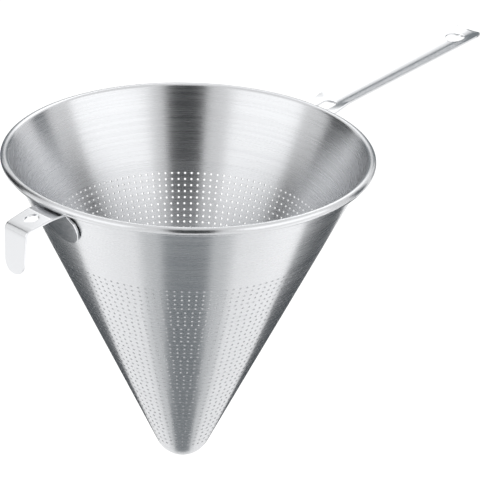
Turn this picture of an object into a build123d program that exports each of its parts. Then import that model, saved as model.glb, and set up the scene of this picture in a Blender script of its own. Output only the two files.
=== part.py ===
from build123d import *
import os
from math import atan2, cos, degrees, pi, radians, sin, sqrt, tan

# Chinois strainer: a perforated steel cone with a rolled rim over a wire ring,
# a pressed handle and, opposite it, a hook that sits on the edge of a pot.
# Millimetres. The origin is on the cone's axis at the height of the roll's
# centre, +Z is up and the handle runs along +X.

# Cone and rim
rim_diameter = 200.0
cone_half_angle = 24.7
cone_sheet = 0.8
wire_diameter = 3.0
wire_clearance = 0.1
wire_sides = 6
roll_angle = 300.0
# The roll, the rounded tip and the bends are drawn with short flats in place of arcs
roll_sides = 10
tip_sides = 3
tip_radius = 16.0

# Perforations: rows in groups, with the columns of a group in line. The first group and each of
# the next have their own number of rows, and the rows go on down to near the rounded tip
hole_diameter = 1.3
first_row_distance = 49.2
row_pitch = 3.51
hole_spacing = 3.83
group_rows = (5, 4)
last_row_margin = 4.5
pattern_azimuth = -135.2
# Of the real pattern one row of each group and every twelfth hole of it is cut, in its own place
row_in_group = 2
hole_step = 12

# Weld tabs of the handle and the hook, which follow the cone's wall
tab_sheet = 1.2
tab_half_width = 12.5
tab_length = 21.0
tab_flare_length = 4.5
bend_radius = 1.6
bend_sides = 4
root_reach = 2.0

# Handle: a tray with a flat floor and sloping sides
handle_gap = 0.4
handle_tilt = 6.4
handle_length = 140.5
handle_root_half_width = 10.8
handle_end_half_width = 13.0
floor_root_half_width = 3.5
floor_end_half_width = 4.3
side_root_height = 3.0
side_end_height = 3.7
side_rise_length = 16.0
handle_corner_radius = 11.2
hanging_hole_diameter = 12.0
hanging_hole_from_end = 14.8
slot_width = 8.8
slot_length = 13.0
slot_offset = 2.0

# Pot hook: a bent strip with a flat ramp, a knee and a tongue
hook_gap = 0.6
ramp_flat_length = 2.4
ramp_length = 16.0
ramp_drop = 2.8
ramp_half_width = 9.0
knee_half_width = 8.0
tongue_length = 25.0
tongue_lean = 3.3
tongue_end_half_width = 7.0
hook_hole_diameter = 7.5
hook_hole_offset = 7.6

# How far a cutting body runs past what it cuts
overrun = 5.0

# Worked out from the sizes above
half_angle = radians(cone_half_angle)
roll_radius = wire_diameter / 2 + wire_clearance + cone_sheet
roll_inner_radius = roll_radius - cone_sheet
roll_centre = rim_diameter / 2 - roll_radius
rim_radius = rim_diameter / 2
normal_r = cos(half_angle)
normal_z = -sin(half_angle)
wall_radius = roll_centre - roll_inner_radius / normal_r
tip_height = -(roll_centre * normal_r - roll_inner_radius - tip_radius) / sin(half_angle)
wall_length = (tip_radius * sin(half_angle) - tip_height) / cos(half_angle)
root_plane = rim_radius + root_reach
roll_start = 180 - cone_half_angle
roll_end = roll_start - roll_angle
hollow_sides = round(wire_sides * roll_angle / 360)


def around(centre, radius, angle):
    """Point in the radial plane at an angle, in degrees, round a centre."""
    return (centre[0] + radius * cos(radians(angle)), centre[1] + radius * sin(radians(angle)))


def wall_point(distance, depth=0.0):
    """Point on the cone's wall: distance down the slope, depth out from the outer face."""
    radius = wall_radius - distance * sin(half_angle) + depth * normal_r
    height = -distance * cos(half_angle) + depth * normal_z
    return (radius, height)


def revolved(profile, sweep=360.0, start=0.0):
    """Turns a closed profile, drawn as radius and height, about the cone's axis."""
    face = Plane.XZ * make_face(profile)
    return Rot(0, 0, start) * revolve(face, Axis.Z, sweep)


def arc_between(centre, radius, start, end):
    """Arc round a centre from one angle to another, both in degrees."""
    middle = (start + end) / 2
    return ThreePointArc(
        around(centre, radius, start), around(centre, radius, middle), around(centre, radius, end)
    )


def flats(centre, radius, start, end, count):
    """Corners of the short flats that stand for an arc from one angle to another."""
    return [around(centre, radius, start + (end - start) * i / count) for i in range(count + 1)]


# Perforated cone: wall, rolled rim and rounded tip are one spun sheet
def cone_blank():
    centre = (roll_centre, 0)
    tip = (0, tip_height)
    bottom = -90
    side = -cone_half_angle
    inner_pole = (0, tip_height - tip_radius + cone_sheet)
    outer_pole = (0, tip_height - tip_radius)
    inner_face = flats(tip, tip_radius - cone_sheet, bottom, side, tip_sides)[1:]
    roll_face = flats(centre, roll_radius, roll_start, roll_end, roll_sides)
    roll_hollow = flats(centre, roll_inner_radius, roll_end, roll_start, hollow_sides)
    outer_face = flats(tip, tip_radius, side, bottom, tip_sides)[:-1]
    inside = [inner_pole, *inner_face]
    outline = Polyline(*inside, *roll_face, *roll_hollow, *outer_face, outer_pole, close=True)
    return revolved([outline])


def hole_places():
    """Distance down the wall and azimuth of each hole that is cut."""
    places = []
    group = 0
    first = first_row_distance
    while first + row_in_group * row_pitch < wall_length - last_row_margin:
        count = round(2 * pi * wall_point(first)[0] / hole_spacing)
        turn = 360.0 / count
        start = pattern_azimuth + (turn / 2 if group % 2 == 0 else 0)
        distance = first + row_in_group * row_pitch
        places += [(distance, start + turn * i) for i in range(0, count, hole_step)]
        first += group_rows[min(group, 1)] * row_pitch
        group += 1
    return places


def hole_punch(distance, azimuth):
    """Square punch with the open area of one round hole, square to the wall."""
    side = hole_diameter * sqrt(pi) / 2
    turn = degrees(side / wall_point(distance)[0])
    corners = [
        wall_point(distance - side / 2, cone_sheet),
        wall_point(distance + side / 2, cone_sheet),
        wall_point(distance + side / 2, -cone_sheet * 2),
        wall_point(distance - side / 2, -cone_sheet * 2),
    ]
    return revolved([Polyline(*corners, close=True)], turn, azimuth - turn / 2)


def perforated_cone():
    return cone_blank().cut(*[hole_punch(*place) for place in hole_places()])


# Rim wire: the ring that the sheet's edge is rolled over, with its flats along the roll's
def rim_wire():
    corners = flats((roll_centre, 0), wire_diameter / 2, roll_start, roll_start - 360, wire_sides)
    return revolved([Polyline(*corners[:-1], close=True)])


# Strip metal, drawn by its upper line, with the sheet below it
def lowered(points, sheet):
    """The line one sheet thickness to the right of a line of points, with mitred corners."""
    result = []
    for i, (x, z) in enumerate(points):
        before = points[max(i - 1, 0)]
        after = points[min(i + 1, len(points) - 1)]
        into = atan2(z - before[1], x - before[0]) if i > 0 else None
        out = atan2(after[1] - z, after[0] - x) if i < len(points) - 1 else None
        into = out if into is None else into
        out = into if out is None else out
        middle = (into + out) / 2
        reach = sheet / cos((out - into) / 2)
        result.append((x + reach * sin(middle), z - reach * cos(middle)))
    return result


def bent_line(points, radius):
    """The line with each of its corners turned into short flats round a bend."""
    line = [points[0]]
    for before, corner, after in zip(points, points[1:], points[2:]):
        into = atan2(corner[1] - before[1], corner[0] - before[0])
        turn = atan2(after[1] - corner[1], after[0] - corner[0]) - into
        reach = radius * tan(-turn / 2)
        start = (corner[0] - reach * cos(into), corner[1] - reach * sin(into))
        centre = (start[0] + radius * sin(into), start[1] - radius * cos(into))
        angle = degrees(into) + 90
        line += flats(centre, radius, angle, angle + degrees(turn), bend_sides)
    return line + [points[-1]]


def strip_profile(points, sheet, radius):
    """Closed outline of bent sheet: the upper line and, one sheet below, the lower line."""
    upper_line = bent_line(points, radius + sheet)
    lower_line = bent_line(lowered(points, sheet), radius)
    return [Polyline(*upper_line, *reversed(lower_line), close=True)]


def welded_root(top, root_half_width):
    """Tab on the cone's wall, its bend and the flat that passes below the roll."""
    corner_distance = -top / cos(half_angle)
    corner = wall_point(corner_distance)
    foot = wall_point(corner_distance + tab_length + overrun)
    outline = strip_profile([foot, corner, (root_plane + overrun, top)], tab_sheet, bend_radius)
    spread = degrees(tab_half_width / corner[0]) * 2
    blank = revolved(outline, spread, -spread / 2)
    flare_end = top - tab_sheet - tab_flare_length
    round_centre = top - tab_length + tab_half_width
    front = [
        Polyline(
            (-tab_half_width, round_centre),
            (-tab_half_width, flare_end),
            (-root_half_width, top - tab_sheet),
            (-root_half_width, overrun),
            (root_half_width, overrun),
            (root_half_width, top - tab_sheet),
            (tab_half_width, flare_end),
            (tab_half_width, round_centre),
        ),
        arc_between((0, round_centre), tab_half_width, 0, -180),
    ]
    return blank & extrude(Plane.YZ * make_face(front), root_plane)


# Handle: tray section by section, flat at the root, full depth past the slot
def tray_section(along):
    """Section of the tray at a distance from the root plane."""
    share = along / handle_length
    half_width = handle_root_half_width + (handle_end_half_width - handle_root_half_width) * share
    floor = floor_root_half_width + (floor_end_half_width - floor_root_half_width) * share
    full_height = side_root_height + (side_end_height - side_root_height) * share
    rise = full_height * min(along / side_rise_length, 1)
    floor_top = -roll_radius - handle_gap + along * tan(radians(handle_tilt))
    upper = [
        (-half_width, floor_top + rise),
        (-floor, floor_top),
        (floor, floor_top),
        (half_width, floor_top + rise),
    ]
    under = [(y, z - tab_sheet) for y, z in reversed(upper)]
    corners = [(root_plane + along, y, z) for y, z in upper + under]
    return make_face(Polyline(*corners, close=True))


def handle():
    root = welded_root(-roll_radius - handle_gap, handle_root_half_width)
    stations = (0, side_rise_length, handle_length + overrun)
    tray = loft([tray_section(along) for along in stations], ruled=True)
    end = root_plane + handle_length
    outline = RectangleRounded(
        2 * handle_length, 2 * handle_end_half_width, handle_corner_radius
    )
    outline = Pos(end - handle_length, 0, 0) * outline
    body = root + tray & extrude(outline, handle_length, both=True)
    slot_start = root_plane + slot_offset
    slot = SlotOverall(slot_length, slot_width)
    slot = Pos(slot_start + slot_length / 2, 0, 0) * slot
    body = body - extrude(slot, overrun * 2, both=True)
    hole_along = handle_length - hanging_hole_from_end
    floor_top = -roll_radius - handle_gap + hole_along * tan(radians(handle_tilt))
    drill = Cylinder(hanging_hole_diameter / 2, overrun * 2)
    place = Pos(root_plane + hole_along, 0, floor_top) * Rot(0, -handle_tilt, 0)
    return body - place * drill


# Pot hook: root, ramp, knee and tongue
def pot_hook():
    top = -roll_radius - hook_gap
    root = welded_root(top, ramp_half_width)
    knee = (root_plane + ramp_flat_length + ramp_length, top - ramp_drop)
    lean = radians(tongue_lean)
    tip = (knee[0] + tongue_length * sin(lean), knee[1] - tongue_length * cos(lean))
    line = [(root_plane, top), (root_plane + ramp_flat_length, top), knee, tip]
    strip = Plane.XZ * make_face(strip_profile(line, tab_sheet, bend_radius))
    strip = extrude(strip, tab_half_width, both=True)
    reach = tip[0] + overrun
    side = [
        (root_plane, ramp_half_width),
        (root_plane + ramp_flat_length, ramp_half_width),
        (knee[0], knee_half_width),
        (reach, knee_half_width),
    ]
    plan = make_face(Polyline(*side, *[(x, -y) for x, y in reversed(side)], close=True))
    strip = strip & extrude(plan, tongue_length + ramp_drop + overrun, both=True)
    tongue_top = knee[1] - tab_sheet - bend_radius
    round_centre = tip[1] + tongue_end_half_width
    front = [
        Polyline(
            (-tongue_end_half_width, round_centre),
            (-knee_half_width, tongue_top),
            (-ramp_half_width, tongue_top),
            (-ramp_half_width, overrun),
            (ramp_half_width, overrun),
            (ramp_half_width, tongue_top),
            (knee_half_width, tongue_top),
            (tongue_end_half_width, round_centre),
        ),
        arc_between((0, round_centre), tongue_end_half_width, 0, -180),
    ]
    strip = strip & extrude(Plane.YZ * make_face(front), reach)
    slope = degrees(atan2(ramp_drop, ramp_length))
    drill = Cylinder(hook_hole_diameter / 2, overrun * 2)
    fall = (hook_hole_offset - ramp_flat_length) * ramp_drop / ramp_length
    place = Pos(root_plane + hook_hole_offset, 0, top - fall) * Rot(0, slope, 0)
    return Rot(0, 0, 180) * (root + strip - place * drill)


os.makedirs("parts", exist_ok=True)
for build in (perforated_cone, rim_wire, handle, pot_hook):
    export_step(build(), "parts/" + build.__name__ + ".step")
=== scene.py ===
from math import atan2, cos, pi, radians, sin, sqrt, tan
import bmesh
import bpy
from mathutils import Matrix, Vector


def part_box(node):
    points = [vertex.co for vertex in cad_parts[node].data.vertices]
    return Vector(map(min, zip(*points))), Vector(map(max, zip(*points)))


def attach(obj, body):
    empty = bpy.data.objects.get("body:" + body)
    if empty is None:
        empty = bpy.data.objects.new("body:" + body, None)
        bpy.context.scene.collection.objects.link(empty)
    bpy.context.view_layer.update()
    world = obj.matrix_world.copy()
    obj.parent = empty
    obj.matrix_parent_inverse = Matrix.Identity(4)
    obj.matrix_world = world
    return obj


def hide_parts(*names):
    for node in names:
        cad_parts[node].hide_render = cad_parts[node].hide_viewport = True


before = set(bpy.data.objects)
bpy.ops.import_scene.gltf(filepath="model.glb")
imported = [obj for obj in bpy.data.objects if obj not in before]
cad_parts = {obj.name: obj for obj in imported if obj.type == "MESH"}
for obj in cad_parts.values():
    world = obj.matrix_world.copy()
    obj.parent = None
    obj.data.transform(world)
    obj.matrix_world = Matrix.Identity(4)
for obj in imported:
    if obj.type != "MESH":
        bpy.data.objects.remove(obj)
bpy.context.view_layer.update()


# Perforated cone
# One sheet of stainless steel, spun to a cone with a rounded tip, punched with rows of round
# holes, then rolled outward at the mouth over a ring of wire. Fine brushing runs round it.
mm = 0.001
full_turn = 2 * pi
rim_low, rim_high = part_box("perforated_cone")
rim_radius = (rim_high.y - rim_low.y) / 2
roll_radius = rim_high.z
cone_sheet = 0.8 * mm
cone_half_angle = radians(24.7)
tip_radius = 16 * mm
roll_sweep = radians(300)
rim_segments = 240
tip_segments = rim_segments // 3
plain_bands = 12
roll_steps, roll_inner_steps, tip_steps = 24, 20, 12
smooth_below = radians(35)
merge_distance = 0.0005 * mm

roll_inner_radius = roll_radius - cone_sheet
roll_centre = rim_radius - roll_radius
wall_radius = roll_centre - roll_inner_radius / cos(cone_half_angle)
tip_height = -(
    roll_centre * cos(cone_half_angle) - roll_inner_radius - tip_radius
) / sin(cone_half_angle)

hole_radius = 0.66 * mm
hole_sides_per_edge = 2
first_row_distance = 49.2 * mm
row_pitch = 3.51 * mm
hole_spacing = 3.83 * mm
group_rows = (5, 4, 4, 4, 4, 4, 4, 4, 4, 4)
group_margin = 0.25 * mm
pattern_azimuth = radians(-135.2)

# The real lines are a few hundredths of a millimetre apart, too fine to show, so they are drawn
# about a millimetre apart and very shallow. Handling leaves broad soft clouds in the gloss.
line_depth = 0.0005 * mm
handling_marks = 35 * mm
handling_share = 0.25
roughness_spread = 0.04


def linear(hex_colour):
    """An sRGB hex colour as the linear colour that a shader takes."""
    parts = [int(hex_colour[i:i + 2], 16) / 255 for i in (1, 3, 5)]
    return tuple(c / 12.92 if c <= 0.04045 else ((c + 0.055) / 1.055) ** 2.4 for c in parts) + (1,)


def add_node(tree, kind, inputs=None, **settings):
    """Adds a node with its settings; inputs maps a socket to a value or to another node's output."""
    node = tree.nodes.new(kind)
    for name, value in settings.items():
        setattr(node, name, value)
    for socket, value in (inputs or {}).items():
        if isinstance(value, bpy.types.NodeSocket):
            tree.links.new(value, node.inputs[socket])
        else:
            node.inputs[socket].default_value = value
    return node


def wall_point(distance, depth):
    """Radius and height on the wall: distance down the slope, depth out from the outer face."""
    radius = wall_radius - distance * sin(cone_half_angle) + depth * cos(cone_half_angle)
    return radius, -distance * cos(cone_half_angle) - depth * sin(cone_half_angle)


def turned(radius, height, azimuth):
    """Point at a radius, height and azimuth round the cone's axis."""
    return (radius * cos(azimuth), radius * sin(azimuth), height)


class WallNet:
    """Points of the wall as distance down the slope and azimuth, with faces and hole rings."""

    def __init__(self):
        self.points = []
        self.index = {}
        self.faces = []
        self.holes = []

    def point(self, distance, azimuth):
        share = round(azimuth / full_turn % 1, 7) % 1
        key = (round(distance, 8), share)
        if key not in self.index:
            self.index[key] = len(self.points)
            self.points.append((distance, share * full_turn))
        return self.index[key]

    def ring(self, distance, count, start=0.0):
        return [self.point(distance, start + full_turn * i / count) for i in range(count)]

    def zip(self, upper, lower):
        """Triangles between two rings that may have different numbers of points."""
        upper = sorted(upper, key=lambda p: self.points[p][1])
        lower = sorted(lower, key=lambda p: self.points[p][1])

        def azimuth(ring, i):
            return self.points[ring[i % len(ring)]][1] + full_turn * (i // len(ring))

        i = j = 0
        while i < len(upper) or j < len(lower):
            left_up = upper[i % len(upper)]
            left_down = lower[j % len(lower)]
            up_next = azimuth(upper, i + 1) <= azimuth(lower, j + 1)
            if j == len(lower) or (i < len(upper) and up_next):
                self.faces.append((left_up, left_down, upper[(i + 1) % len(upper)]))
                i += 1
            else:
                self.faces.append((left_up, left_down, lower[(j + 1) % len(lower)]))
                j += 1

    def cell(self, distance, azimuth, up, down, half_turn):
        """One hole with the sheet round it, from up to down along the wall."""
        corners = ((1, -1), (1, 1), (-1, 1), (-1, -1))
        edge, hole = [], []
        sides = 4 * hole_sides_per_edge
        radius = wall_point(distance, 0)[0]
        for k in range(sides):
            side, step = divmod(k, hole_sides_per_edge)
            share = step / hole_sides_per_edge
            a, b = corners[side], corners[(side + 1) % 4]
            across = a[0] + (b[0] - a[0]) * share
            rise = a[1] + (b[1] - a[1]) * share
            middle, reach = (up + down) / 2, (down - up) / 2
            edge.append(self.point(middle - rise * reach, azimuth + across * half_turn))
            angle = full_turn * k / sides - pi / 4
            turn = hole_radius * cos(angle) / radius
            hole.append(self.point(distance - hole_radius * sin(angle), azimuth + turn))
        for k in range(sides):
            after = (k + 1) % sides
            self.faces.append((edge[k], edge[after], hole[after], hole[k]))
        self.holes.append(hole)


def punched_wall():
    """The net of the whole wall, from the roll down to the tip's rounding."""
    net = WallNet()
    wall_top = -roll_inner_radius * sin(cone_half_angle) / cos(cone_half_angle)
    wall_bottom = (tip_radius * sin(cone_half_angle) - tip_height) / cos(cone_half_angle)
    plain_height = first_row_distance - row_pitch - wall_top
    above = net.ring(wall_top, rim_segments)
    for i in range(plain_bands):
        below = net.ring(wall_top + plain_height * (i + 1) / plain_bands, rim_segments)
        net.zip(above, below)
        above = below
    row = 0
    for group, rows in enumerate(group_rows):
        first = first_row_distance + row * row_pitch
        count = round(full_turn * wall_point(first, 0)[0] / hole_spacing)
        turn = full_turn / count
        start = pattern_azimuth + (turn / 2 if group % 2 == 0 else 0)
        bounds = [first + (k - 0.5) * row_pitch for k in range(rows + 1)]
        bounds[0] += group_margin
        bounds[-1] -= group_margin
        for k in range(rows):
            for i in range(count):
                net.cell(first + k * row_pitch, start + turn * i, bounds[k], bounds[k + 1], turn / 2)
        ring_points = count * hole_sides_per_edge
        net.zip(above, net.ring(bounds[0], ring_points, start - turn / 2))
        above = net.ring(bounds[-1], ring_points, start - turn / 2)
        row += rows
    below = net.ring(wall_bottom, tip_segments)
    net.zip(above, below)
    return net


def arc(centre, radius, start, end, steps):
    """Points in the radial plane along an arc."""
    angles = [start + (end - start) * i / steps for i in range(steps + 1)]
    return [(centre[0] + radius * cos(a), centre[1] + radius * sin(a)) for a in angles]


def turned_faces(profile, count, points, faces):
    """Adds the faces of a profile turned about the axis, outward where the profile runs down."""
    base = len(points)
    for radius, height in profile:
        points += [turned(radius, height, full_turn * i / count) for i in range(count)]
    for row in range(len(profile) - 1):
        for i in range(count):
            a, b = base + row * count, base + (row + 1) * count
            j = (i + 1) % count
            faces.append((a + i, b + i, b + j, a + j))


def finished_mesh(name, points, faces, sharp_angle):
    """A mesh object from points and faces, joined where they meet and smooth but for its edges."""
    mesh = bpy.data.meshes.new(name)
    mesh.from_pydata(points, [], faces)
    work = bmesh.new()
    work.from_mesh(mesh)
    bmesh.ops.remove_doubles(work, verts=work.verts, dist=merge_distance)
    work.to_mesh(mesh)
    work.free()
    mesh.shade_smooth()
    mesh.set_sharp_from_angle(angle=sharp_angle)
    piece = bpy.data.objects.new(name, mesh)
    bpy.context.scene.collection.objects.link(piece)
    return piece


def spun_cone():
    net = punched_wall()
    points, faces = [], []
    for depth in (0, -cone_sheet):
        points += [turned(*wall_point(d, depth), a) for d, a in net.points]
    inner = len(net.points)
    faces += net.faces
    faces += [tuple(inner + p for p in reversed(face)) for face in net.faces]
    for hole in net.holes:
        for k, near in enumerate(hole):
            after = hole[(k + 1) % len(hole)]
            faces.append((near, after, inner + after, inner + near))
    centre = (roll_centre, 0)
    roll_start = pi - cone_half_angle
    roll_end = roll_start - roll_sweep
    roll = arc(centre, roll_radius, roll_start, roll_end, roll_steps)
    roll += arc(centre, roll_inner_radius, roll_end, roll_start, roll_inner_steps)
    turned_faces(roll, rim_segments, points, faces)
    tip = (0, tip_height)
    side, bottom = -cone_half_angle, -pi / 2
    outside = arc(tip, tip_radius, side, bottom, tip_steps)
    inside = arc(tip, tip_radius - cone_sheet, bottom, side, tip_steps)
    turned_faces(outside, tip_segments, points, faces)
    turned_faces(inside, tip_segments, points, faces)
    return finished_mesh("spun_cone", points, faces, smooth_below)


def steel(name, colour, roughness, line_spacing, anisotropy=0.0):
    """Stainless steel; line_spacing is how far apart its finishing lines change along x, y and z."""
    material = bpy.data.materials.new(name)
    material.use_nodes = True
    tree = material.node_tree
    tree.nodes.clear()
    place = add_node(tree, "ShaderNodeTexCoord").outputs["Object"]
    spread = add_node(tree, "ShaderNodeMapping", {
        "Vector": place, "Scale": [1 / spacing for spacing in line_spacing]})
    lines = add_node(tree, "ShaderNodeTexNoise", {
        "Vector": spread.outputs["Vector"], "Scale": 1.0, "Detail": 3.0, "Roughness": 0.65})
    handling = add_node(tree, "ShaderNodeTexNoise", {
        "Vector": place, "Scale": 1 / handling_marks, "Detail": 2.0, "Roughness": 0.5})
    worn = add_node(tree, "ShaderNodeMath", {
        0: handling.outputs["Fac"], 1: handling_share, 2: lines.outputs["Fac"]},
        operation="MULTIPLY_ADD")
    rough = add_node(tree, "ShaderNodeMapRange", {
        "Value": worn.outputs["Value"], "From Min": 0.35, "From Max": 0.9,
        "To Min": roughness - roughness_spread, "To Max": roughness + roughness_spread})
    bump = add_node(tree, "ShaderNodeBump", {
        "Height": lines.outputs["Fac"], "Strength": 1.0, "Distance": line_depth})
    metal = add_node(tree, "ShaderNodeBsdfPrincipled", {
        "Base Color": linear(colour), "Metallic": 1.0, "Roughness": rough.outputs["Result"],
        "Normal": bump.outputs["Normal"]})
    if anisotropy:
        around_axis = add_node(tree, "ShaderNodeTangent", direction_type="RADIAL", axis="Z")
        metal.inputs["Anisotropic"].default_value = anisotropy
        metal.inputs["Anisotropic Rotation"].default_value = 0.25
        tree.links.new(around_axis.outputs["Tangent"], metal.inputs["Tangent"])
    output = add_node(tree, "ShaderNodeOutputMaterial")
    tree.links.new(metal.outputs["BSDF"], output.inputs["Surface"])
    return material


# Rings of fine brushing pull each reflection up and down the wall into soft light and dark bands.
cone = spun_cone()
cone.data.materials.append(
    steel("spun_brushed_stainless_steel", "#CFD0D2", 0.27, (150 * mm, 150 * mm, 0.9 * mm), 0.8)
)
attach(cone, "root")
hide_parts("perforated_cone")


# Rim wire
# A ring of drawn steel wire that lies closed in the rolled edge, so that only its place shows.
wire_steel = steel("drawn_steel_wire", "#B4B5B8", 0.35, (40 * mm, 40 * mm, 0.6 * mm))
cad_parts["rim_wire"].data.materials.clear()
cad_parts["rim_wire"].data.materials.append(wire_steel)


# Handle
# One pressed sheet of stainless steel: a long shallow tray with a round end, a hanging hole and a
# slot at its root, bent down into a tab that is spot welded to the cone below the roll.
tab_sheet = 1.2 * mm
tab_half_width = 12.5 * mm
tab_length = 21 * mm
tab_flare_length = 4.5 * mm
tab_curve_share = 0.25
tab_overlap = 0.05 * mm
bend_radius = 1.6 * mm
edge_rounding = 0.22 * mm
station_spacing = 1.6 * mm
across_steps = 28
tab_steps = 24
handle_shoulder_steps = 5
punch_sides = 48
punch_reach = 8 * mm
edge_angle = radians(50)
shading_angle = radians(40)

handle_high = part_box("handle")[1]
root_plane = rim_radius + 2 * mm
handle_end = handle_high.x
handle_length = handle_end - root_plane
handle_top = -roll_radius - 0.4 * mm
handle_tilt = radians(6.4)
handle_root_half_width = 10.8 * mm
handle_end_half_width = 13 * mm
floor_root_half_width = 3.5 * mm
floor_end_half_width = 4.3 * mm
side_root_height = 2.5 * mm
side_end_height = 3.1 * mm
side_rise_length = 16 * mm
handle_corner_radius = 11.2 * mm
crease_softness = 1.1 * mm
hanging_hole_radius = 6 * mm
hanging_hole_along = handle_length - 14.8 * mm
slot_width = 8.8 * mm
slot_length = 13 * mm
slot_offset = 2 * mm


def offset_line(points, distance):
    """The line a distance to the right of a line of points, with mitred corners."""
    result = []
    for i, (x, z) in enumerate(points):
        before, after = points[max(i - 1, 0)], points[min(i + 1, len(points) - 1)]
        into = atan2(z - before[1], x - before[0]) if i > 0 else None
        out = atan2(after[1] - z, after[0] - x) if i < len(points) - 1 else into
        into = out if into is None else into
        middle, reach = (into + out) / 2, distance / cos((out - into) / 2)
        result.append((x + reach * sin(middle), z - reach * cos(middle)))
    return result


def bent_line(points, radii, spacing_counts, bend_steps=6):
    """Points along straight runs and the round bends between them, with a radius for each bend."""
    line = []
    start = Vector(points[0])
    for i in range(1, len(points)):
        corner, count = Vector(points[i]), spacing_counts[i - 1]
        if i == len(points) - 1:
            line += [start.lerp(corner, k / count) for k in range(count + 1)]
            break
        into = (corner - Vector(points[i - 1])).normalized()
        out = (Vector(points[i + 1]) - corner).normalized()
        half = into.angle(out) / 2
        radius = radii[i - 1]
        reach = radius * tan(half)
        begin, finish = corner - into * reach, corner + out * reach
        line += [start.lerp(begin, k / count) for k in range(count + 1)]
        right = Vector((into.y, -into.x))
        centre = begin + right * radius
        for k in range(1, bend_steps):
            turn = Matrix.Rotation(-2 * half * k / bend_steps, 2)
            line.append(centre + turn @ (begin - centre))
        start = finish
    return [tuple(p) for p in line]


def tab_width(height, top, root_half_width):
    """Half width of the tab and the root by height: flare, straight sides, round end."""
    flare_start, flare_end = top - tab_sheet, top - tab_sheet - tab_flare_length
    round_centre = top - tab_length + tab_half_width
    if height < round_centre:
        return sqrt(max(tab_half_width ** 2 - (height - round_centre) ** 2, 0))
    share = min(max((flare_start - height) / (flare_start - flare_end), 0), 1)
    return root_half_width + (tab_half_width - root_half_width) * share


def bent_sheet(name, upper, lower, half_widths, rises, wall_shares):
    """A closed solid of bent sheet: stations along it, with a row of points across each."""
    points, faces = [], []
    columns = across_steps + 1
    stations = zip(upper + lower, half_widths * 2, rises * 2, wall_shares * 2)
    for line, half_width, rise, wall_share in stations:
        for k in range(columns):
            y = half_width * (2 * k / across_steps - 1)
            x = line[0] - wall_share * (line[0] - sqrt(line[0] ** 2 - y ** 2))
            points.append((x, y, line[1] + rise(y)))
    count = len(upper)
    under = count * columns
    for i in range(count - 1):
        for k in range(across_steps):
            a, b = i * columns + k, (i + 1) * columns + k
            faces.append((a, b, b + 1, a + 1))
            faces.append((under + a, under + a + 1, under + b + 1, under + b))
        for k, flip in ((0, True), (across_steps, False)):
            a, b = i * columns + k, (i + 1) * columns + k
            side = (a, under + a, under + b, b)
            faces.append(side if flip else tuple(reversed(side)))
    for i, flip in ((0, True), (count - 1, False)):
        for k in range(across_steps):
            a = i * columns + k
            end = (a, a + 1, under + a + 1, under + a)
            faces.append(end if flip else tuple(reversed(end)))
    return finished_mesh(name, points, faces, smooth_below)


def cut(piece, cutter):
    """Takes the cutter's volume out of a piece and removes the cutter."""
    modifier = piece.modifiers.new("cut", "BOOLEAN")
    modifier.operation = "DIFFERENCE"
    modifier.solver = "EXACT"
    modifier.object = cutter
    apply_modifiers(piece)
    bpy.data.objects.remove(cutter)


def apply_modifiers(piece):
    """Turns what the modifiers show into the piece's own mesh."""
    bpy.context.view_layer.update()
    shown = piece.evaluated_get(bpy.context.evaluated_depsgraph_get())
    mesh = bpy.data.meshes.new_from_object(shown)
    piece.modifiers.clear()
    piece.data = mesh


def soften_edges(piece):
    """Rounds the sheet's cut edges as tumbling leaves them."""
    bevel = piece.modifiers.new("edges", "BEVEL")
    bevel.width = edge_rounding
    bevel.segments = 2
    bevel.limit_method = "ANGLE"
    bevel.angle_limit = edge_angle
    apply_modifiers(piece)
    piece.data.shade_smooth()
    piece.data.set_sharp_from_angle(angle=shading_angle)


def punch(place, radius, stretch=0.0):
    """A round or stadium-shaped cutter that goes through the sheet."""
    outline = []
    for k in range(punch_sides):
        angle = full_turn * k / punch_sides
        shift = stretch if cos(angle) > 0 else -stretch
        outline.append((shift + radius * cos(angle), radius * sin(angle)))
    points = [(x, y, z) for z in (-punch_reach, punch_reach) for x, y in outline]
    faces = [tuple(reversed(range(punch_sides))), tuple(range(punch_sides, 2 * punch_sides))]
    for k in range(punch_sides):
        after = (k + 1) % punch_sides
        faces.append((k, after, punch_sides + after, punch_sides + k))
    cutter = finished_mesh("punch", points, faces, smooth_below)
    cutter.matrix_world = place
    return cutter


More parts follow.
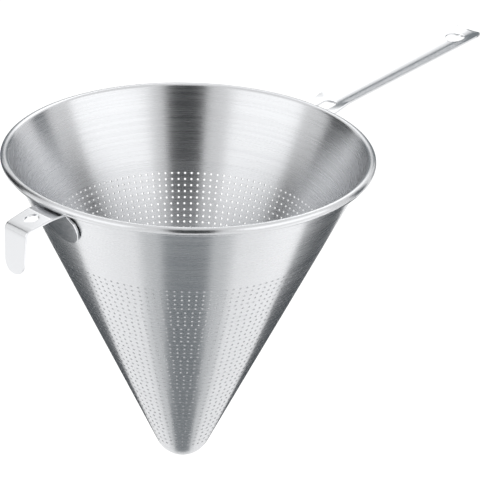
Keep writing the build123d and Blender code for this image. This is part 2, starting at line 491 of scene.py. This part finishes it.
def pressed_handle():
    corner_distance = -handle_top / cos(cone_half_angle)
    corner = wall_point(corner_distance, 0)
    foot = wall_point(corner_distance + (tab_length - tab_overlap) / cos(cone_half_angle), 0)
    end = (handle_end, handle_top + handle_length * tan(handle_tilt))
    line = [foot, corner, (root_plane, handle_top), end]
    counts = [tab_steps, handle_shoulder_steps, round(handle_length / station_spacing)]
    radii = [bend_radius] * 2
    upper = bent_line(line, [radius + tab_sheet for radius in radii], counts)
    lower = bent_line(offset_line(line, tab_sheet), radii, counts)
    upper[-1] = end
    lower[-1] = (handle_end, end[1] - tab_sheet / cos(handle_tilt))
    half_widths, rises, wall_shares = [], [], []
    for x, z in upper:
        along = x - root_plane
        share = min(max(along / handle_length, 0), 1)
        full_width = handle_root_half_width + (handle_end_half_width - handle_root_half_width) * share
        floor = floor_root_half_width + (floor_end_half_width - floor_root_half_width) * share
        full_height = side_root_height + (side_end_height - side_root_height) * share
        height = full_height * min(max(along / side_rise_length, 0), 1)
        width = full_width if along > 0 else tab_width(z, handle_top, handle_root_half_width)
        past = along - (handle_length - handle_corner_radius)
        if past > 0:
            flat = handle_end_half_width - handle_corner_radius
            width = min(width, flat + sqrt(max(handle_corner_radius ** 2 - past ** 2, 0)))

        def rise(y, floor=floor, full_width=full_width, height=height):
            past_crease = abs(y) - floor
            eased = (past_crease + sqrt(past_crease ** 2 + 4 * crease_softness ** 2)) / 2
            start = (-floor + sqrt(floor ** 2 + 4 * crease_softness ** 2)) / 2
            return height * (eased - start) / (full_width - floor)

        half_widths.append(width)
        rises.append(rise)
        wall_share = min(max((root_plane - x) / (root_plane - corner[0]), 0), 1)
        wall_shares.append(wall_share * tab_curve_share)
    piece = bent_sheet("pressed_handle", upper, lower, half_widths, rises, wall_shares)
    slot_middle = root_plane + slot_offset + slot_length / 2
    slot_place = Matrix.Translation((slot_middle, 0, handle_top))
    cut(piece, punch(slot_place, slot_width / 2, (slot_length - slot_width) / 2))
    hole_height = handle_top + hanging_hole_along * tan(handle_tilt)
    hole_place = Matrix.Translation((root_plane + hanging_hole_along, 0, hole_height))
    hole_place = hole_place @ Matrix.Rotation(-handle_tilt, 4, "Y")
    cut(piece, punch(hole_place, hanging_hole_radius))
    soften_edges(piece)
    return piece


# Satin polish with its lines along the handle: near white to the light, grey on the near slope.
handle = pressed_handle()
handle.data.materials.clear()
handle.data.materials.append(
    steel("satin_polished_stainless_steel", "#DADBDD", 0.22, (40 * mm, 0.9 * mm, 0.9 * mm))
)
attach(handle, "root")
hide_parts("handle")


# Pot hook
# A strip of the same sheet, bent to a ramp with a round hole, a knee and a tongue with a round
# end. Its tab is spot welded to the cone opposite the handle.
hook_top = -roll_radius - 0.6 * mm
ramp_flat_length = 2.4 * mm
ramp_length = 16 * mm
ramp_drop = 2.8 * mm
ramp_half_width = 9 * mm
knee_half_width = 8 * mm
knee_radius = 3 * mm
tongue_length = 25 * mm
tongue_lean = radians(3.3)
tongue_end_half_width = 7 * mm
hook_hole_radius = 3.75 * mm
hook_hole_offset = 7.6 * mm
hook_shoulder_steps, ramp_steps, tongue_steps = 6, 12, 24
narrowest_half_width = 0.4 * mm


def bent_hook():
    corner_distance = -hook_top / cos(cone_half_angle)
    corner = wall_point(corner_distance, 0)
    foot = wall_point(corner_distance + (tab_length - tab_overlap) / cos(cone_half_angle), 0)
    ramp_start = (root_plane + ramp_flat_length, hook_top)
    knee = (ramp_start[0] + ramp_length, hook_top - ramp_drop)
    tip = (knee[0] + tongue_length * sin(tongue_lean), knee[1] - tongue_length * cos(tongue_lean))
    line = [foot, corner, ramp_start, knee, tip]
    counts = [tab_steps, hook_shoulder_steps, ramp_steps, tongue_steps]
    radii = [bend_radius, bend_radius, knee_radius]
    upper = bent_line(line, [radius + tab_sheet for radius in radii], counts)
    lower = bent_line(offset_line(line, tab_sheet), radii, counts)
    round_centre = tip[1] + tongue_end_half_width
    half_widths, wall_shares = [], []
    for x, z in upper:
        if x < root_plane:
            width = tab_width(z, hook_top, ramp_half_width)
        elif z < round_centre:
            width_squared = tongue_end_half_width ** 2 - (z - round_centre) ** 2
            width = sqrt(max(width_squared, narrowest_half_width ** 2))
        elif z < knee[1] - knee_radius - tab_sheet:
            share = (knee[1] - z) / (knee[1] - round_centre)
            width = knee_half_width + (tongue_end_half_width - knee_half_width) * share
        else:
            share = min(max((x - ramp_start[0]) / (knee[0] - ramp_start[0]), 0), 1)
            width = ramp_half_width + (knee_half_width - ramp_half_width) * share
        half_widths.append(width)
        wall_share = min(max((root_plane - x) / (root_plane - corner[0]), 0), 1)
        wall_shares.append(wall_share * tab_curve_share)
    flat = [lambda y: 0.0] * len(upper)
    piece = bent_sheet("bent_hook", upper, lower, half_widths, flat, wall_shares)
    slope = atan2(ramp_drop, ramp_length)
    fall = (hook_hole_offset - ramp_flat_length) * ramp_drop / ramp_length
    hole_place = Matrix.Translation((root_plane + hook_hole_offset, 0, hook_top - fall))
    hole_place = hole_place @ Matrix.Rotation(slope, 4, "Y")
    cut(piece, punch(hole_place, hook_hole_radius))
    soften_edges(piece)
    piece.data.transform(Matrix.Rotation(pi, 4, "Z"))
    return piece


# The same satin polish on a strip: pale faces, a dark line at each bend and a bright cut edge.
hook = bent_hook()
hook.data.materials.clear()
hook.data.materials.append(
    steel("satin_polished_steel_strip", "#D6D7D9", 0.2, (40 * mm, 0.9 * mm, 0.9 * mm))
)
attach(hook, "root")
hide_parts("pot_hook")


# Studio: pale floor, soft light and the camera
# The camera stands where the photograph's does, worked out from the rim, the cone's outline and
# the rows of holes. Its angles are measured from the line to the middle of the mouth. A brightness
# of 1 in a softbox, with lamp_power, is as bright as the room.
handle_azimuth = radians(45.2)
camera_distance = 1.02183
camera_elevation = 0.40395
camera_yaw, camera_pitch, camera_roll = -0.027787, 0.044792, 0.023347
picture_side = 480
focal_pixels = 1912.96
sensor_width = 36
far_clip = 10


def studio_camera():
    to_camera = Vector((0, -cos(camera_elevation), sin(camera_elevation)))
    forward = -to_camera
    right = Vector((1, 0, 0))
    down = forward.cross(right)
    level = Matrix((right, down, forward))
    turn = Matrix.Rotation(camera_roll, 3, "Z") @ Matrix.Rotation(camera_pitch, 3, "X")
    aimed = turn @ Matrix.Rotation(camera_yaw, 3, "Y") @ level
    axes = Matrix((aimed[0], -aimed[1], -aimed[2])).transposed()
    photo_turn = Matrix.Rotation(-handle_azimuth, 3, "Z")
    data = bpy.data.cameras.new("camera")
    data.sensor_width = sensor_width
    data.lens = focal_pixels / picture_side * sensor_width
    data.clip_end = far_clip
    camera = bpy.data.objects.new("camera", data)
    bpy.context.scene.collection.objects.link(camera)
    camera.matrix_world = Matrix.Translation(photo_turn @ to_camera * camera_distance) @ (
        photo_turn @ axes
    ).to_4x4()
    bpy.context.scene.camera = camera


floor_height = -0.45
floor_size = 30
target = Vector((0, 0, -0.06))
room_white = "#FFFFFF"
floor_white = "#F4F4F4"
floor_glow = 0.14
lamp_power = 4


def studio_place(azimuth, elevation, distance):
    """Place and turn of a thing that faces the strainer; azimuth 0 is at the picture's right."""
    azimuth, elevation = radians(azimuth) - handle_azimuth, radians(elevation)
    away = Vector((cos(azimuth) * cos(elevation), sin(azimuth) * cos(elevation), sin(elevation)))
    facing = away.to_track_quat("Z", "Y").to_matrix().to_4x4()
    return Matrix.Translation(target + away * distance) @ facing


def softbox(name, azimuth, elevation, distance, width, height, brightness):
    data = bpy.data.lights.new(name, "AREA")
    data.shape = "RECTANGLE"
    data.size, data.size_y = width, height
    data.energy = lamp_power * width * height * brightness
    lamp = bpy.data.objects.new(name, data)
    lamp.visible_camera = False
    lamp.matrix_world = studio_place(azimuth, elevation, distance)
    bpy.context.scene.collection.objects.link(lamp)


def plain_material(name):
    material = bpy.data.materials.new(name)
    material.use_nodes = True
    material.node_tree.nodes.clear()
    return material, material.node_tree, add_node(material.node_tree, "ShaderNodeOutputMaterial")


def flat_panel(name, width, height, place, material):
    corners = [(x * width / 2, y * height / 2, 0) for x, y in ((-1, -1), (1, -1), (1, 1), (-1, 1))]
    mesh = bpy.data.meshes.new(name)
    mesh.from_pydata(corners, [], [(0, 1, 2, 3)])
    mesh.materials.append(material)
    panel = bpy.data.objects.new(name, mesh)
    panel.matrix_world = place
    bpy.context.scene.collection.objects.link(panel)
    return panel


def reflected_board(name, azimuth, elevation, distance, width, height, colour):
    """A board that only shows as a reflection in the steel, and takes no light from it."""
    material, tree, output = plain_material(name)
    glow = add_node(tree, "ShaderNodeEmission", {"Color": linear(colour), "Strength": 1.0})
    tree.links.new(glow.outputs["Emission"], output.inputs["Surface"])
    place = studio_place(azimuth, elevation, distance)
    board = flat_panel(name, width, height, place, material)
    board.visible_camera = board.visible_diffuse = board.visible_shadow = False
    board.visible_transmission = board.visible_volume_scatter = False


def studio_world():
    world = bpy.data.worlds.new("studio")
    bpy.context.scene.world = world
    world.use_nodes = True
    world.node_tree.nodes["Background"].inputs["Color"].default_value = linear(room_white)
    world.node_tree.nodes["Background"].inputs["Strength"].default_value = 1.0


def studio_floor():
    """Pale floor whose open parts reach white for the camera and in the steel; shadows stay."""
    material, tree, output = plain_material("floor_paper")
    paper = add_node(tree, "ShaderNodeBsdfDiffuse", {"Color": linear(floor_white)})
    ray = add_node(tree, "ShaderNodeLightPath").outputs
    seen = add_node(tree, "ShaderNodeMath", {
        0: ray["Is Camera Ray"], 1: ray["Is Glossy Ray"]}, operation="MAXIMUM")
    seen = add_node(tree, "ShaderNodeMath", {
        0: seen.outputs["Value"], 1: ray["Is Transmission Ray"]}, operation="MAXIMUM")
    strength = add_node(tree, "ShaderNodeMath", {
        0: seen.outputs["Value"], 1: floor_glow}, operation="MULTIPLY")
    glow = add_node(tree, "ShaderNodeEmission", {"Strength": strength.outputs["Value"]})
    both = add_node(tree, "ShaderNodeAddShader", {
        0: paper.outputs["BSDF"], 1: glow.outputs["Emission"]})
    tree.links.new(both.outputs["Shader"], output.inputs["Surface"])
    flat_panel("floor", floor_size, floor_size, Matrix.Translation((0, 0, floor_height)), material)


studio_camera()
studio_world()
studio_floor()

# Softboxes from both sides, the back and below: azimuth and elevation in degrees, distance, width
# and height in metres, then the brightness that each adds to the white of the room.
softbox("left_softbox", -148, 24, 1.2, 1.1, 0.9, 0.5)
softbox("right_softbox", -30, 24, 1.2, 1.2, 0.9, 0.55)
softbox("back_softbox", 80, 42, 1.27, 1.0, 0.55, 0.7)
softbox("side_softbox", 180, -18, 0.7, 0.3, 0.4, 0.1)
softbox("low_left_softbox", -172, -45, 0.5, 0.35, 0.4, 0.25)
softbox("low_right_softbox", -8, -45, 0.5, 0.35, 0.4, 0.25)

# Boards that show as the darker bands of the steel: the front one on the inner wall, the floor ones
# on the outer wall, those at the back on the handle and the ends of the mouth.
reflected_board("front_board", -87, 20, 1.3, 0.6, 2.6, "#26292B")
reflected_board("front_floor_board", -90, -68, 0.36, 0.15, 0.36, "#7C8286")
reflected_board("front_floor_fade", -90, -68, 0.37, 0.3, 0.36, "#D8DADB")
reflected_board("back_board", 90, -10, 1.3, 2.6, 0.45, "#6A7074")
reflected_board("handle_board", 92, 11, 1.3, 1.7, 0.58, "#7C8286")
reflected_board("left_back_board", 150, 8, 1.3, 0.6, 1.9, "#2A2D2F")
reflected_board("left_side_board", 128, -4, 1.28, 0.5, 0.6, "#5E6468")
reflected_board("right_back_board", 27, 2, 1.3, 0.35, 1.2, "#5E6468")
reflected_board("left_floor_board", 128, -42, 0.5, 0.55, 0.26, "#4A4F53")
reflected_board("right_floor_board", 52, -42, 0.5, 0.55, 0.26, "#4A4F53")

bpy.context.scene.view_settings.view_transform = "Standard"
